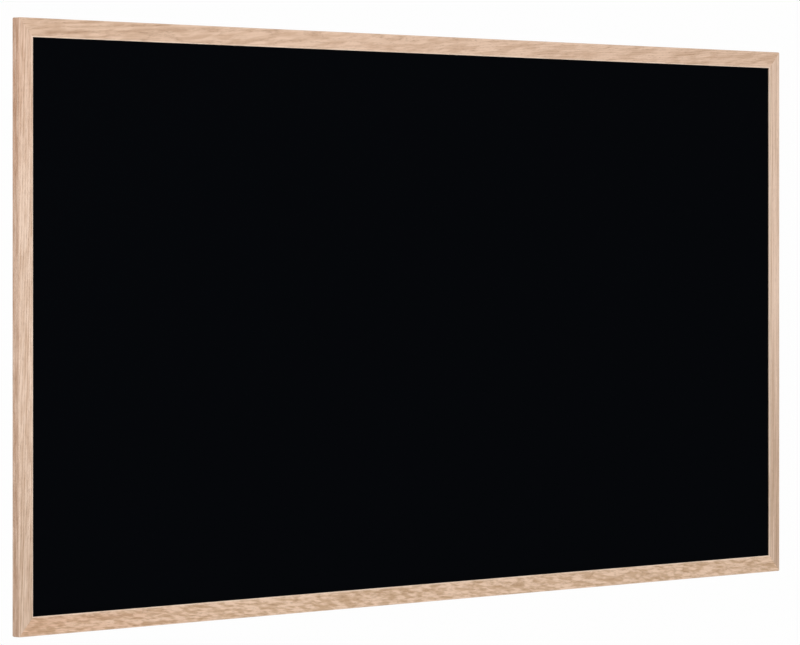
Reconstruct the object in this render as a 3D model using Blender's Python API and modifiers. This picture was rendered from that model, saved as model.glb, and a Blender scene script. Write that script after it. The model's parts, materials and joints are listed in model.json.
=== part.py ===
"""Framed wall chalkboard, as an assembly of its separate pieces.

Metres, +Z up. The board faces -Y and the wall is the plane Y = 0. The origin is on the wall, behind the
middle of the board. Left and right are as seen by someone who stands in front of it.
"""

import math

import bmesh
import bpy
from mathutils import Matrix, Vector

# Overall size of the framed board
BOARD_WIDTH = 2.4384
BOARD_HEIGHT = 1.2192

# Frame stick, as milled
FACE_WIDTH = 0.0381
FRAME_DEPTH = 0.01905
LIP_THICKNESS = 0.0040
RABBET_WIDTH = 0.0127
EDGE_EASE = 0.0015
BACK_EASE = 0.0008
CORNER_RADIUS = 0.0030

# Clearances
SEAT_GAP = 0.0003
MITRE_GAP = 0.0003
PANEL_EDGE_GAP = 0.0010
LOOP_CLEARANCE = 0.00035
SCREW_CLEARANCE = 0.0004
RING_SIDE_PLAY = 0.0006
WALL_CLEARANCE = 0.0003

# Panel in the rabbet: face sheet, core and backing. The core fills the depth that is left.
FACE_SHEET = 0.0006
BACKING_SHEET = 0.0004
BACK_RIM = 0.0013

# Flat points that hold the panel in
POINT_THICKNESS = 0.0005
POINT_WIDTH = 0.0095
POINT_BITE = 0.0060
POINT_REACH = 0.0090
POINT_SPACING = 0.400

# V-shaped nails across each mitre
NAILS_PER_MITRE = 2
NAIL_THICKNESS = 0.0008
NAIL_REACH = 0.0060
NAIL_SPREAD = 0.0080
NAIL_CURL = 0.0012
NAIL_COVER = 0.0090

# Strap hangers
HANGER_DROP = 0.250
HANGER_INSET = 0.0165
STRAP_THICKNESS = 0.0012
STRAP_WIDTH = 0.0140
STRAP_END_RADIUS = 0.0050
STRAP_END_MARGIN = 0.0095
FOLD_ANGLE = math.radians(60)
FOLD_RADIUS = 0.0012

# D rings
RING_WIRE = 0.0030
RING_CORNER_RADIUS = 0.0030
RING_SIDE = 0.0040

# Hanger screws
SCREWS_PER_STRAP = 3
SCREW_PITCH = 0.0190
SCREW_HEAD_RADIUS = 0.0038
SCREW_SHANK_RADIUS = 0.0020
SCREW_HEAD_ANGLE = math.radians(41)
SCREW_TIP_LENGTH = 0.0040
SCREW_TIP_RADIUS = 0.0004
SCREW_TIP_COVER = 0.0060
RECESS_SPAN = 0.0040
RECESS_SLOT = 0.0009
RECESS_DEPTH = 0.0014

# Wall bumpers
BUMPER_BASE_RADIUS = 0.00635
BUMPER_TOP_RADIUS = 0.0054
BUMPER_EDGE_RADIUS = 0.0012
BUMPER_INSET = 0.0450

# How finely round forms are divided
ARC_STEPS = 4
RING_ARC_STEPS = 16
TURN_STEPS = 24
RING_BEVEL_RESOLUTION = 3

# What a cutter reaches past the surface that it opens
OVERCUT = 0.0010

# Sizes that follow from the ones above
LOOP_RADIUS = RING_WIRE / 2 + LOOP_CLEARANCE
AXIS_HEIGHT = SEAT_GAP + STRAP_THICKNESS + LOOP_RADIUS
STRAP_TOP = SEAT_GAP + 2 * STRAP_THICKNESS + SEAT_GAP
BUMPER_HEIGHT = AXIS_HEIGHT + LOOP_RADIUS + STRAP_THICKNESS + WALL_CLEARANCE - SEAT_GAP
BACK_Y = -(BUMPER_HEIGHT + SEAT_GAP)
FRONT_Y = BACK_Y - FRAME_DEPTH
LIP_Y = FRONT_Y + LIP_THICKNESS
POINT_Y = BACK_Y - BACK_RIM - POINT_THICKNESS
BACKING_Y = POINT_Y - SEAT_GAP - BACKING_SHEET
FACE_SHEET_Y = LIP_Y + SEAT_GAP
CORE_Y = FACE_SHEET_Y + FACE_SHEET + SEAT_GAP
CORE_THICKNESS = BACKING_Y - SEAT_GAP - CORE_Y
REAR_LAND = FACE_WIDTH - RABBET_WIDTH
PANEL_WIDTH = BOARD_WIDTH - 2 * (REAR_LAND + PANEL_EDGE_GAP)
PANEL_HEIGHT = BOARD_HEIGHT - 2 * (REAR_LAND + PANEL_EDGE_GAP)
NAIL_DEPTH = FRAME_DEPTH - NAIL_COVER - SEAT_GAP
RING_HALF_WIDTH = STRAP_WIDTH / 2 + RING_SIDE_PLAY + RING_CORNER_RADIUS
RING_LENGTH = RING_CORNER_RADIUS + RING_SIDE + RING_HALF_WIDTH
RING_TILT = math.asin((STRAP_TOP + SEAT_GAP + RING_WIRE / 2 - AXIS_HEIGHT) / RING_LENGTH)

# Each side of the frame: where it is, which way its outer edge faces, and its length
SIDES = {
    "top": (Vector((0, 0, BOARD_HEIGHT / 2)), 0, BOARD_WIDTH),
    "right": (Vector((BOARD_WIDTH / 2, 0, 0)), math.pi / 2, BOARD_HEIGHT),
    "bottom": (Vector((0, 0, -BOARD_HEIGHT / 2)), math.pi, BOARD_WIDTH),
    "left": (Vector((-BOARD_WIDTH / 2, 0, 0)), -math.pi / 2, BOARD_HEIGHT),
}
MEMBER_NAMES = {"top": "top_rail", "right": "right_stile", "bottom": "bottom_rail", "left": "left_stile"}
SIGN = {"left": -1, "right": 1, "bottom": -1, "top": 1}

# A flat outline is drawn in its own XY plane, then stood up parallel to the wall or square to it
FACING = Matrix.Rotation(math.pi / 2, 4, "X")
END_ON = Matrix.Rotation(math.pi / 2, 4, "Z") @ Matrix.Rotation(math.pi / 2, 4, "X")
TOWARDS_WALL = Matrix.Rotation(-math.pi / 2, 4, "X")


def clear_scene():
    for old in list(bpy.data.objects):
        bpy.data.objects.remove(old)


def new_collection(name, parent):
    made = bpy.data.collections.new(name)
    parent.children.link(made)
    return made


def principled(name, colour, roughness, metallic=0.0):
    made = bpy.data.materials.new(name)
    made.use_nodes = True
    shader = made.node_tree.nodes["Principled BSDF"]
    shader.inputs["Base Color"].default_value = (*colour, 1.0)
    shader.inputs["Roughness"].default_value = roughness
    shader.inputs["Metallic"].default_value = metallic
    made.diffuse_color = (*colour, 1.0)
    return made


def keep(obj, collection, material=None):
    """Puts an object in its collection and gives it its material."""
    for old in list(obj.users_collection):
        old.objects.unlink(obj)
    collection.objects.link(obj)
    if material:
        obj.data.materials.append(material)
    return obj


def cut(cutter, *pieces):
    """Puts a cutter with the others of each piece that it is to be taken out of."""
    cutter.hide_render = True
    cutter.display_type = "WIRE"
    for old in list(cutter.users_collection):
        old.objects.unlink(cutter)
    for piece in pieces:
        if piece not in cuts:
            cuts[piece] = new_collection(piece.name + "_cuts", cutters)
        cuts[piece].objects.link(cutter)


def make_cuts():
    """Gives each piece one Boolean that takes out all of its cutters."""
    for piece, its_cutters in cuts.items():
        modifier = piece.modifiers.new("cuts", "BOOLEAN")
        modifier.operand_type = "COLLECTION"
        modifier.solver = "EXACT"
        modifier.collection = its_cutters


def arc(centre, radius, start, end, steps):
    """Points along an arc in a plane, both ends included."""
    turns = [start + (end - start) * step / steps for step in range(steps + 1)]
    return [Vector(centre) + radius * Vector((math.cos(a), math.sin(a))) for a in turns]


def filleted(corners):
    """A path through (x, y, radius) corners, each turned by an arc of its own radius."""
    path = []
    for index, (x, y, radius) in enumerate(corners):
        corner = Vector((x, y))
        if radius == 0:
            path.append(corner)
            continue
        before = (Vector(corners[index - 1][:2]) - corner).normalized()
        after = (Vector(corners[(index + 1) % len(corners)][:2]) - corner).normalized()
        half = before.angle(after) / 2
        centre = corner + (before + after).normalized() * radius / math.sin(half)
        start = corner + before * radius / math.tan(half) - centre
        end = corner + after * radius / math.tan(half) - centre
        first = math.atan2(start.y, start.x)
        turn = math.remainder(math.atan2(end.y, end.x) - first, 2 * math.pi)
        path += arc(centre, radius, first, first + turn, ARC_STEPS)
    return path


def strip(path, thickness):
    """The outline of a bent strip of even thickness along an open path."""
    sides = ([], [])
    for index, point in enumerate(path):
        back = (point - path[index - 1]).normalized() if index else None
        on = (path[index + 1] - point).normalized() if index + 1 < len(path) else None
        back = back or on
        on = on or back
        along = (back + on).normalized()
        normal = Vector((-along.y, along.x)) * thickness / 2 / along.dot(on)
        sides[0].append(point + normal)
        sides[1].append(point - normal)
    return sides[0] + sides[1][::-1]


def lengthened(path, extra):
    """The same path with both ends drawn out straight."""
    first = path[0] + (path[0] - path[1]).normalized() * extra
    last = path[-1] + (path[-1] - path[-2]).normalized() * extra
    return [first] + path[1:-1] + [last]


def poly_spline(curve, points, closed):
    spline = curve.splines.new("POLY")
    spline.points.add(len(points) - 1)
    for place, point in zip(spline.points, points):
        place.co = (*point, 1.0)
    spline.use_cyclic_u = closed


def slab(name, outline, thickness, stand, matrix):
    """A flat outline with a thickness, half to each side of its plane, stood up and then placed."""
    curve = bpy.data.curves.new(name, "CURVE")
    curve.dimensions = "2D"
    curve.fill_mode = "BOTH"
    curve.extrude = thickness / 2
    poly_spline(curve, [(x, y, 0) for x, y in outline], True)
    drawn = bpy.data.objects.new(name, curve)
    bpy.context.scene.collection.objects.link(drawn)
    bpy.context.view_layer.update()
    evaluated = drawn.evaluated_get(bpy.context.evaluated_depsgraph_get())
    mesh = bpy.data.meshes.new_from_object(evaluated)
    bpy.data.objects.remove(drawn)
    welded = bmesh.new()
    welded.from_mesh(mesh)
    bmesh.ops.remove_doubles(welded, verts=welded.verts, dist=1e-6)
    bmesh.ops.recalc_face_normals(welded, faces=welded.faces)
    bmesh.ops.transform(welded, matrix=stand, verts=welded.verts)
    welded.to_mesh(mesh)
    welded.free()
    mesh.shade_flat()
    mesh.name = name
    made = bpy.data.objects.new(name, mesh)
    bpy.context.scene.collection.objects.link(made)
    made.matrix_world = matrix
    return made


def turned(name, profile, matrix):
    """A profile of (radius, height) points, top to bottom, turned about its own Z axis."""
    mesh = bpy.data.meshes.new(name)
    edges = [(index, index + 1) for index in range(len(profile) - 1)]
    mesh.from_pydata([(radius, 0, height) for radius, height in profile], edges, [])
    made = bpy.data.objects.new(name, mesh)
    bpy.context.scene.collection.objects.link(made)
    made.matrix_world = matrix
    screw = made.modifiers.new("turn", "SCREW")
    screw.steps = TURN_STEPS
    screw.render_steps = TURN_STEPS
    screw.use_merge_vertices = True
    screw.merge_threshold = 1e-6
    screw.use_smooth_shade = True
    return made


def box(name, low, high):
    bpy.ops.mesh.primitive_cube_add(size=1, location=(low + high) / 2)
    made = bpy.context.object
    made.name = name
    made.data.name = name
    made.data.transform(Matrix.Diagonal((*(high - low), 1)))
    return made


def side_matrix(side):
    """A frame side's own axes: X along it, Y through its depth, Z outwards, 0 on its outer face."""
    place, turn, _ = SIDES[side]
    return Matrix.Translation(place) @ Matrix.Rotation(turn, 4, "Y")


def saw(bm, point, normal):
    """Cuts a stick across and closes the sawn end."""
    everything = bm.verts[:] + bm.edges[:] + bm.faces[:]
    done = bmesh.ops.bisect_plane(
        bm, geom=everything, plane_co=point, plane_no=normal, clear_outer=True
    )
    sawn = [item for item in done["geom_cut"] if isinstance(item, bmesh.types.BMEdge)]
    bmesh.ops.contextual_create(bm, geom=sawn)


def stick_profile():
    """The stick's section, drawn from the front face round: depth first, then width."""
    return filleted([
        (FRONT_Y, 0, EDGE_EASE),
        (FRONT_Y, -FACE_WIDTH, EDGE_EASE),
        (LIP_Y, -FACE_WIDTH, 0),
        (LIP_Y, -REAR_LAND, 0),
        (BACK_Y, -REAR_LAND, 0),
        (BACK_Y, 0, BACK_EASE),
    ])


def make_member(side):
    """One length of frame stick, sawn to a mitre at both ends."""
    length = SIDES[side][2]
    stick = length + 2 * OVERCUT
    member = slab(MEMBER_NAMES[side], stick_profile(), stick, END_ON, side_matrix(side))
    bm = bmesh.new()
    bm.from_mesh(member.data)
    end = length / 2 - MITRE_GAP / math.sqrt(2)
    for hand in (-1, 1):
        saw(bm, Vector((hand * end, 0, 0)), Vector((hand, 0, -1)).normalized())
    bmesh.ops.recalc_face_normals(bm, faces=bm.faces)
    bm.to_mesh(member.data)
    bm.free()
    return keep(member, parts, oak)


def corner_place(height, hand, depth):
    """A point on the upright line through one outer corner of the frame."""
    return Vector((SIGN[hand] * BOARD_WIDTH / 2, depth, SIGN[height] * BOARD_HEIGHT / 2))


def corner_cutter(height, hand):
    """Takes the sharp arris off one outer corner of the frame."""
    reach = CORNER_RADIUS + OVERCUT
    centre = (-CORNER_RADIUS, -CORNER_RADIUS)
    outline = [Vector((0, -CORNER_RADIUS)), Vector((OVERCUT, -reach)), Vector((OVERCUT, OVERCUT))]
    outline += [Vector((-reach, OVERCUT))]
    outline += arc(centre, CORNER_RADIUS, math.pi / 2, 0, 2 * ARC_STEPS)[:-1]
    flipped = [Vector((SIGN[hand] * p.x, SIGN[height] * p.y)) for p in outline]
    place = Matrix.Translation(corner_place(height, hand, (FRONT_Y + BACK_Y) / 2))
    return slab(f"corner_round_{height}_{hand}", flipped, FRAME_DEPTH + 2 * OVERCUT, FACING, place)


def make_sheet(name, front, thickness, material):
    low = Vector((-PANEL_WIDTH / 2, front, -PANEL_HEIGHT / 2))
    high = Vector((PANEL_WIDTH / 2, front + thickness, PANEL_HEIGHT / 2))
    return keep(box(name, low, high), parts, material)


def make_panel():
    make_sheet("writing_surface", FACE_SHEET_Y, FACE_SHEET, chalk_coating)
    make_sheet("core_board", CORE_Y, CORE_THICKNESS, fibreboard)
    make_sheet("backing_sheet", BACKING_Y, BACKING_SHEET, foil)


def make_points(side, member):
    """Flat points pressed into one rabbet wall, and the slots that they sit in."""
    opening = SIDES[side][2] - 2 * FACE_WIDTH
    count = max(2, round(opening / POINT_SPACING))
    half = POINT_WIDTH / 2
    grown = half + SEAT_GAP
    deep = POINT_BITE + SEAT_GAP
    shape = [(-half, -POINT_REACH), (half, -POINT_REACH), (half, POINT_BITE / 2)]
    shape += [(0, POINT_BITE), (-half, POINT_BITE / 2)]
    slot = [(-grown, -OVERCUT), (grown, -OVERCUT), (grown, deep), (-grown, deep)]
    for index in range(count):
        along = (index + 0.5) * opening / count - opening / 2
        place = Vector((along, POINT_Y + POINT_THICKNESS / 2, -REAR_LAND))
        matrix = side_matrix(side) @ Matrix.Translation(place)
        name = f"panel_point_{side}_{index + 1}"
        keep(slab(name, shape, POINT_THICKNESS, FACING, matrix), parts, zinc)
        cut(slab(name + "_slot", slot, POINT_THICKNESS + 2 * SEAT_GAP, FACING, matrix), member)


def make_mitre_nails(height, hand, meeting):
    """V-shaped nails driven across one mitre from behind, and their slots in both members."""
    legs = filleted([
        (NAIL_REACH / 2 - NAIL_CURL, NAIL_SPREAD / 2 + NAIL_CURL, 0),
        (NAIL_REACH / 2, NAIL_SPREAD / 2, NAIL_THICKNESS),
        (-NAIL_REACH / 2, 0, NAIL_THICKNESS),
        (NAIL_REACH / 2, -NAIL_SPREAD / 2, NAIL_THICKNESS),
        (NAIL_REACH / 2 - NAIL_CURL, -NAIL_SPREAD / 2 - NAIL_CURL, 0),
    ])
    space = strip(lengthened(legs, SEAT_GAP), NAIL_THICKNESS + 2 * SEAT_GAP)
    slot_depth = NAIL_DEPTH + 2 * SEAT_GAP + OVERCUT
    inwards = Vector((-SIGN[hand], 0, -SIGN[height])).normalized()
    turn = Matrix.Rotation(-math.atan2(inwards.z, inwards.x), 4, "Y")
    corner = corner_place(height, hand, BACK_Y - SEAT_GAP - NAIL_DEPTH / 2)
    land = REAR_LAND * math.sqrt(2)
    for index in range(NAILS_PER_MITRE):
        centre = corner + inwards * land * (index + 1) / (NAILS_PER_MITRE + 1)
        matrix = Matrix.Translation(centre) @ turn
        name = f"mitre_nail_{height}_{hand}_{index + 1}"
        keep(slab(name, strip(legs, NAIL_THICKNESS), NAIL_DEPTH, FACING, matrix), parts, zinc)
        behind = Matrix.Translation((0, OVERCUT / 2, 0)) @ matrix
        cut(slab(name + "_slot", space, slot_depth, FACING, behind), *meeting)


def fold_path(length):
    """The folded strap seen end on: up the wood, round the ring's bar and back down."""
    inner = SEAT_GAP + STRAP_THICKNESS / 2
    outer = inner + STRAP_THICKNESS + SEAT_GAP
    radius = LOOP_RADIUS + STRAP_THICKNESS / 2
    loop = arc((AXIS_HEIGHT, 0), radius, math.pi, -FOLD_ANGLE, 3 * ARC_STEPS)
    leave = loop[-1]
    drop = (leave.x - outer) / math.tan(FOLD_ANGLE)
    bend = filleted([(leave.x, leave.y, 0), (outer, leave.y - drop, FOLD_RADIUS), (outer, -length, 0)])
    return [Vector((inner, -length))] + loop + bend[1:], leave.y - drop


def screw_profile(length, grow):
    """A countersunk screw from its head's top down, or the space for it when grown."""
    cone = (SCREW_HEAD_RADIUS - SCREW_SHANK_RADIUS) / math.tan(SCREW_HEAD_ANGLE)
    head = SCREW_HEAD_RADIUS + grow
    shank = SCREW_SHANK_RADIUS + grow
    tip = SCREW_TIP_RADIUS + grow
    top = OVERCUT if grow else 0
    profile = [(0, top), (head, top)]
    if grow:
        profile.append((head, 0))
    profile += [(shank, -cone), (shank, -length + SCREW_TIP_LENGTH)]
    profile += [(tip, -length - grow), (0, -length - grow)]
    return profile


def cross_outline():
    """The driver recess, a plain cross."""
    arm = RECESS_SPAN / 2
    half = RECESS_SLOT / 2
    quarter = [(arm, -half), (arm, half), (half, half)]
    points = []
    for turn in range(4):
        angle = turn * math.pi / 2
        points += [Matrix.Rotation(angle, 2) @ Vector(point) for point in quarter]
    return points


def make_hanger(side, member):
    """A folded strap on the back of one stile, its D ring, its screws and their holes."""
    across = SIGN[side] * (BOARD_WIDTH / 2 - HANGER_INSET)
    axis = Vector((across, BACK_Y + AXIS_HEIGHT, BOARD_HEIGHT / 2 - HANGER_DROP))
    wood = Vector((across, BACK_Y, axis.z))
    fold_end = fold_path(0)[1]
    first_screw = fold_end - FOLD_RADIUS - SCREW_HEAD_RADIUS - SCREW_CLEARANCE - SEAT_GAP
    length = -first_screw + (SCREWS_PER_STRAP - 1) * SCREW_PITCH + STRAP_END_MARGIN
    outline = strip(fold_path(length)[0], STRAP_THICKNESS)
    strap = slab(f"hanger_strap_{side}", outline, STRAP_WIDTH, END_ON, Matrix.Translation(wood))
    round_strap_end(strap.data, -length)
    keep(strap, parts, zinc)
    make_ring(side, axis)
    for index in range(SCREWS_PER_STRAP):
        head = Vector((0, STRAP_TOP, first_screw - index * SCREW_PITCH)) + wood
        matrix = Matrix.Translation(head) @ TOWARDS_WALL
        name = f"hanger_screw_{side}_{index + 1}"
        screw_length = STRAP_TOP + FRAME_DEPTH - SCREW_TIP_COVER
        screw = keep(turned(name, screw_profile(screw_length, 0), matrix), parts, zinc)
        facing_head = Matrix.Translation(head)
        cut(slab(name + "_recess", cross_outline(), 2 * RECESS_DEPTH, FACING, facing_head), screw)
        space = turned(name + "_space", screw_profile(screw_length, SCREW_CLEARANCE), matrix)
        cut(space, strap, member)


def round_strap_end(mesh, end):
    """Rounds the corners of both layers at the strap's lower end."""
    bm = bmesh.new()
    bm.from_mesh(mesh)
    corners = [
        edge
        for edge in bm.edges
        if all(abs(v.co.z - end) < 1e-6 for v in edge.verts)
        and abs(edge.verts[0].co.x - edge.verts[1].co.x) < 1e-6
    ]
    bmesh.ops.bevel(
        bm, geom=corners, offset=STRAP_END_RADIUS, segments=ARC_STEPS, profile=0.5, affect="EDGES"
    )
    bm.to_mesh(mesh)
    bm.free()


def make_ring(side, axis):
    """A D-shaped wire ring, its straight bar on the axis, tipped out so that it rests on the strap."""
    shoulder = -RING_CORNER_RADIUS - RING_SIDE
    bow = arc((0, shoulder), RING_HALF_WIDTH, 0, -math.pi, RING_ARC_STEPS)
    corners = filleted([
        (-RING_HALF_WIDTH, shoulder, 0),
        (-RING_HALF_WIDTH, 0, RING_CORNER_RADIUS),
        (RING_HALF_WIDTH, 0, RING_CORNER_RADIUS),
        (RING_HALF_WIDTH, shoulder, 0),
    ])
    path = corners[1:-1] + bow
    curve = bpy.data.curves.new(f"d_ring_{side}", "CURVE")
    curve.dimensions = "3D"
    curve.bevel_depth = RING_WIRE / 2
    curve.bevel_resolution = RING_BEVEL_RESOLUTION
    curve.use_fill_caps = True
    poly_spline(curve, [(p.x, 0, p.y) for p in path], True)
    ring = bpy.data.objects.new(f"d_ring_{side}", curve)
    ring.location = axis
    ring.rotation_euler.x = RING_TILT
    keep(ring, parts, zinc)


def make_bumper(height, hand):
    """A rubber bumper that holds one corner off the wall."""
    profile = filleted([
        (0, BUMPER_HEIGHT, 0),
        (BUMPER_TOP_RADIUS, BUMPER_HEIGHT, BUMPER_EDGE_RADIUS),
        (BUMPER_BASE_RADIUS, 0, 0),
        (0, 0, 0),
    ])
    place = Vector((
        SIGN[hand] * (BOARD_WIDTH / 2 - REAR_LAND / 2),
        BACK_Y + SEAT_GAP,
        SIGN[height] * (BOARD_HEIGHT / 2 - BUMPER_INSET),
    ))
    matrix = Matrix.Translation(place) @ TOWARDS_WALL
    keep(turned(f"wall_bumper_{height}_{hand}", profile, matrix), parts, rubber)


clear_scene()
parts = new_collection("chalkboard", bpy.context.scene.collection)
cutters = new_collection("chalkboard_cutters", bpy.context.scene.collection)
cuts = {}
oak =principled("pale_oak", (0.69, 0.50, 0.38), 0.55)
chalk_coating = principled("chalk_coating", (0.0025, 0.003, 0.004), 0.9)
fibreboard = principled("fibreboard", (0.36, 0.25, 0.15), 0.9)
foil = principled("backing_foil", (0.60, 0.61, 0.62), 0.45, 0.9)
zinc = principled("zinc_plated_steel", (0.62, 0.62, 0.60), 0.35, 1.0)
rubber = principled("bumper_rubber", (0.03, 0.03, 0.03), 0.8)

members = {side: make_member(side) for side in SIDES}
for height in ("top", "bottom"):
    for hand in ("left", "right"):
        meeting = (members[hand], members[height])
        cut(corner_cutter(height, hand), *meeting)
        make_mitre_nails(height, hand, meeting)
        make_bumper(height, hand)
make_panel()
for side, member in members.items():
    make_points(side, member)
for side in ("left", "right"):
    make_hanger(side, members[side])
make_cuts()
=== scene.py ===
# %% [markdown]
# # A framed wall chalkboard
#
# The real object is a wide, flat board: a thin steel sheet with a near-black, very matt chalk coating,
# set in a mitred frame of pale oak. Two D rings on its back hang it on the wall.
#
# The measured model comes first and never moves. Pieces whose shape is already right keep their mesh and
# get a finish. Pieces with rounded or turned forms are made again here with finer faces, in the same place.

# %% Load the measured model
import json
import math

import bmesh
import bpy
from mathutils import Matrix, Vector


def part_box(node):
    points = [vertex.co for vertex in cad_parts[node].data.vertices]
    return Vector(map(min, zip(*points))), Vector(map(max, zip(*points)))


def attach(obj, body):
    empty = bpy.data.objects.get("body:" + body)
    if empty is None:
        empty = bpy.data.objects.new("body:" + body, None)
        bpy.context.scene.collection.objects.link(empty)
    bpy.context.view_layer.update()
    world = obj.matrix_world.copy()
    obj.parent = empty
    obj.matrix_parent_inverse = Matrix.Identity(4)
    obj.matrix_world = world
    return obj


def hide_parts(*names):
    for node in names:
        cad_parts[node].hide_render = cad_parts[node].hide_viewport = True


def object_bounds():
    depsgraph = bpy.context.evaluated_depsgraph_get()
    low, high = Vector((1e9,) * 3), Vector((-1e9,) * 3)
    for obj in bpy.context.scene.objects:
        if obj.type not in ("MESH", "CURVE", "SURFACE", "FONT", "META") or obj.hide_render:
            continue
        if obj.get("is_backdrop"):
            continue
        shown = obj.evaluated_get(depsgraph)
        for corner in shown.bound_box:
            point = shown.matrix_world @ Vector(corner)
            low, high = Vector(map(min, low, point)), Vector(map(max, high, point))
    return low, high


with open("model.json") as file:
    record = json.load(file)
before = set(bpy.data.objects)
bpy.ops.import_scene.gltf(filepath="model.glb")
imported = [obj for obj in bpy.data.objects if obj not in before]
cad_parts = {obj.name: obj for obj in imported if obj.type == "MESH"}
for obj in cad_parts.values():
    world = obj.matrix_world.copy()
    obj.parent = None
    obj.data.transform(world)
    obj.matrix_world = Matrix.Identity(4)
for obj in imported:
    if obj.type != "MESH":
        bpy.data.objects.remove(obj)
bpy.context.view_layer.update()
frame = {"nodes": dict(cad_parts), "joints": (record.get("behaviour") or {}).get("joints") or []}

# %% [markdown]
# ## Sizes
#
# What can be read from the measured model is read from it. The section of the frame stick and the small
# hardware are repeated here as named sizes, because a finer mesh needs its own outline. All are metres.

# %% Read the frame's place and name the rest
rail_low, rail_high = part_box("top_rail")
HALF_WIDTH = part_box("right_stile")[1].x
HALF_HEIGHT = rail_high.z
FRONT_Y = rail_low.y
BACK_Y = rail_high.y
FACE_WIDTH = rail_high.z - rail_low.z
FRAME_DEPTH = BACK_Y - FRONT_Y
LIP_THICKNESS = 0.0040
RABBET_WIDTH = 0.0127
REAR_LAND = FACE_WIDTH - RABBET_WIDTH
EDGE_EASE = 0.0015
BACK_EASE = 0.0008
RABBET_EASE = 0.0003
CORNER_RADIUS = 0.0030
SEAT_GAP = 0.0003
SNUG = 0.00008
print("frame stick:", round(FACE_WIDTH, 4), "wide and", round(FRAME_DEPTH, 5), "deep")

# %% [markdown]
# ## Camera
#
# The photograph was taken level, from the left of the board and a little above its middle. A long lens
# keeps the far end nearly as tall as the near one. The view is moved down by a lens shift rather than by
# a tilt, which keeps the upright edges upright.

# %% Make the camera
TURN = math.radians(47.7)
AHEAD = Vector((math.sin(TURN), math.cos(TURN), 0))
ACROSS = Vector((math.cos(TURN), -math.sin(TURN), 0))
EYE_HEIGHT = 0.1875
EYE_RIGHT_OF_EDGE = 0.7485
EYE_BEFORE_EDGE = 9.156
near_edge = Vector((-HALF_WIDTH, FRONT_Y, EYE_HEIGHT))

lens = bpy.data.cameras.new("camera")
lens.sensor_width = 36.0
lens.lens = 209.7
lens.shift_y = -0.1133
lens.clip_start = 0.1
lens.clip_end = 100.0
camera = bpy.data.objects.new("camera", lens)
camera.location = near_edge + EYE_RIGHT_OF_EDGE * ACROSS - EYE_BEFORE_EDGE * AHEAD
camera.rotation_euler = (math.pi / 2, 0, -TURN)
bpy.context.scene.collection.objects.link(camera)
bpy.context.scene.camera = camera
print("camera stands at", [round(value, 3) for value in camera.location])

# %% [markdown]
# ## Small tools for shader nodes
#
# Every finish below is a net of small nodes. These helpers add one node each, so that a finish reads as a
# short recipe: put a node, work out a number, step between two levels, mix two colours.

# %% Helpers for shader nodes
def put(tree, kind, sockets=None, **settings):
    """Adds a shader node, sets its options, and fills or links its sockets."""
    made = tree.nodes.new("ShaderNode" + kind)
    for name, value in settings.items():
        setattr(made, name, value)
    for name, value in (sockets or {}).items():
        if isinstance(value, bpy.types.NodeSocket):
            tree.links.new(value, made.inputs[name])
        else:
            made.inputs[name].default_value = value
    return made


def calc(tree, operation, *values):
    """One sum on numbers or sockets."""
    return put(tree, "Math", dict(enumerate(values)), operation=operation).outputs[0]


def step(tree, value, low, high, to_low=0.0, to_high=1.0):
    """A smooth step between two levels of a value."""
    sockets = {"Value": value, "From Min": low, "From Max": high, "To Min": to_low, "To Max": to_high}
    return put(tree, "MapRange", sockets, interpolation_type="SMOOTHSTEP").outputs[0]


def tint(tree, amount, first, second, how="MIX"):
    """Mixes two colours."""
    made = put(tree, "Mix", {0: amount, 6: first, 7: second}, data_type="RGBA", blend_type=how)
    return made.outputs[2]


def noise(tree, place, cycles, detail=2.0, roughness=0.5):
    """Noise with its own number of cycles in a metre along each axis, from 0 to 1."""
    drawn = put(tree, "VectorMath", {0: place, 1: cycles}, operation="MULTIPLY").outputs[0]
    sockets = {"Vector": drawn, "Scale": 1.0, "Detail": detail, "Roughness": roughness}
    return put(tree, "TexNoise", sockets).outputs[0]


def new_group(name, inputs, outputs):
    """A node group with named inputs and outputs."""
    tree = bpy.data.node_groups.new(name, "ShaderNodeTree")
    for label, kind, value in inputs:
        made = tree.interface.new_socket(label, in_out="INPUT", socket_type="NodeSocket" + kind)
        made.default_value = value
    for label, kind in outputs:
        tree.interface.new_socket(label, in_out="OUTPUT", socket_type="NodeSocket" + kind)
    entry = tree.nodes.new("NodeGroupInput").outputs
    leave = tree.nodes.new("NodeGroupOutput").inputs
    return tree, entry, leave


def new_material(name):
    """An empty node material with a Principled shader, and the place on the piece in metres."""
    made = bpy.data.materials.new(name)
    made.use_nodes = True
    tree = made.node_tree
    shader = tree.nodes["Principled BSDF"]
    place = put(tree, "TexCoord").outputs["Object"]
    return made, tree, shader, place


def use_group(tree, group, sockets):
    """Places a node group in a material."""
    return put(tree, "Group", sockets, node_tree=group).outputs


def relief(tree, shader, height, depth):
    """Turns a height into a bump of that depth in metres."""
    bump = put(tree, "Bump", {"Height": height, "Distance": depth, "Strength": 1.0})
    tree.links.new(bump.outputs["Normal"], shader.inputs["Normal"])


print("node helpers ready")
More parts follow.
